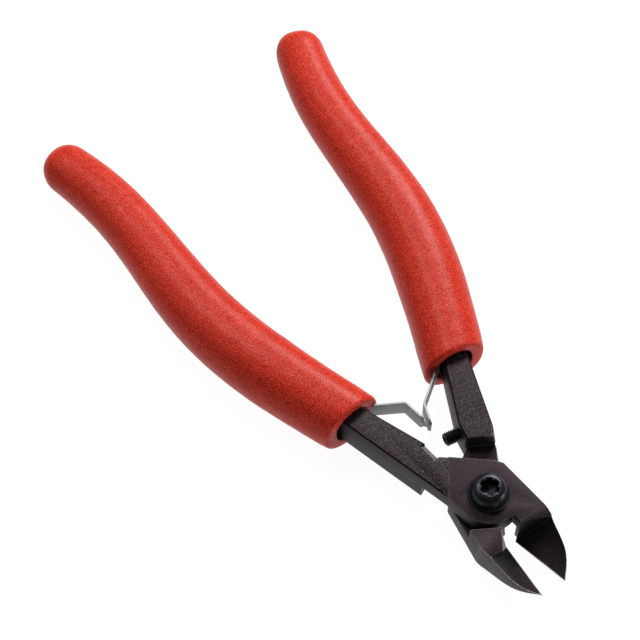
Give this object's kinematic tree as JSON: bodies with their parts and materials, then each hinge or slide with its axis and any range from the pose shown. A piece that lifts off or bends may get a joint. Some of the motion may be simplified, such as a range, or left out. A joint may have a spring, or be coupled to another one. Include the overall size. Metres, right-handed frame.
{
  "type": "diagonal cutting pliers",
  "caption": "Small diagonal cutting pliers with a screwed lap joint, twin leaf springs and red foam grips, resting open.",
  "frame": {"origin": "on the pivot axis, in the flat back face of the lap joint", "axes": "+Z along the pivot axis, out through the screw's head; +Y from the pivot towards the blades' tips; +X to the right seen from the screw's head, on the side of the front lever's handle"},
  "size_m": [0.075, 0.1492, 0.0148],
  "materials": {
    "black_steel": "black oxide, blasted and ground",
    "black_screw": "black oxide, smooth",
    "spring_steel": "satin",
    "foam": "fine-grained matte foam"
  },
  "bodies": {
    "front_half": {"front_lever": "black_steel", "front_grip": "foam", "front_spring": "spring_steel", "front_spring_rivets": "spring_steel"},
    "rear_half": {"rear_lever": "black_steel", "pivot_screw": "black_screw", "pivot_washer": "black_screw", "rear_grip": "foam", "rear_spring": "spring_steel", "rear_spring_rivets": "spring_steel"},
    "stop_screw_body": {"stop_screw": "black_screw"}
  },
  "joints": [
    {"name": "jaw_hinge", "type": "hinge", "parent": "front_half", "child": "rear_half", "pos_m": [0, 0, 0.0041], "axis": [0, 0, 1], "range_deg": [0, 14.2], "stiffness_Nm_per_rad": 1.2, "springref_deg": -5.73, "deforming": ["front_spring", "rear_spring"]},
    {"name": "stop_screw_travel", "type": "slide", "parent": "rear_half", "child": "stop_screw_body", "axis": [-0.9923, 0.1236, 0], "range_m": [0, 0.0015]}
  ]
}
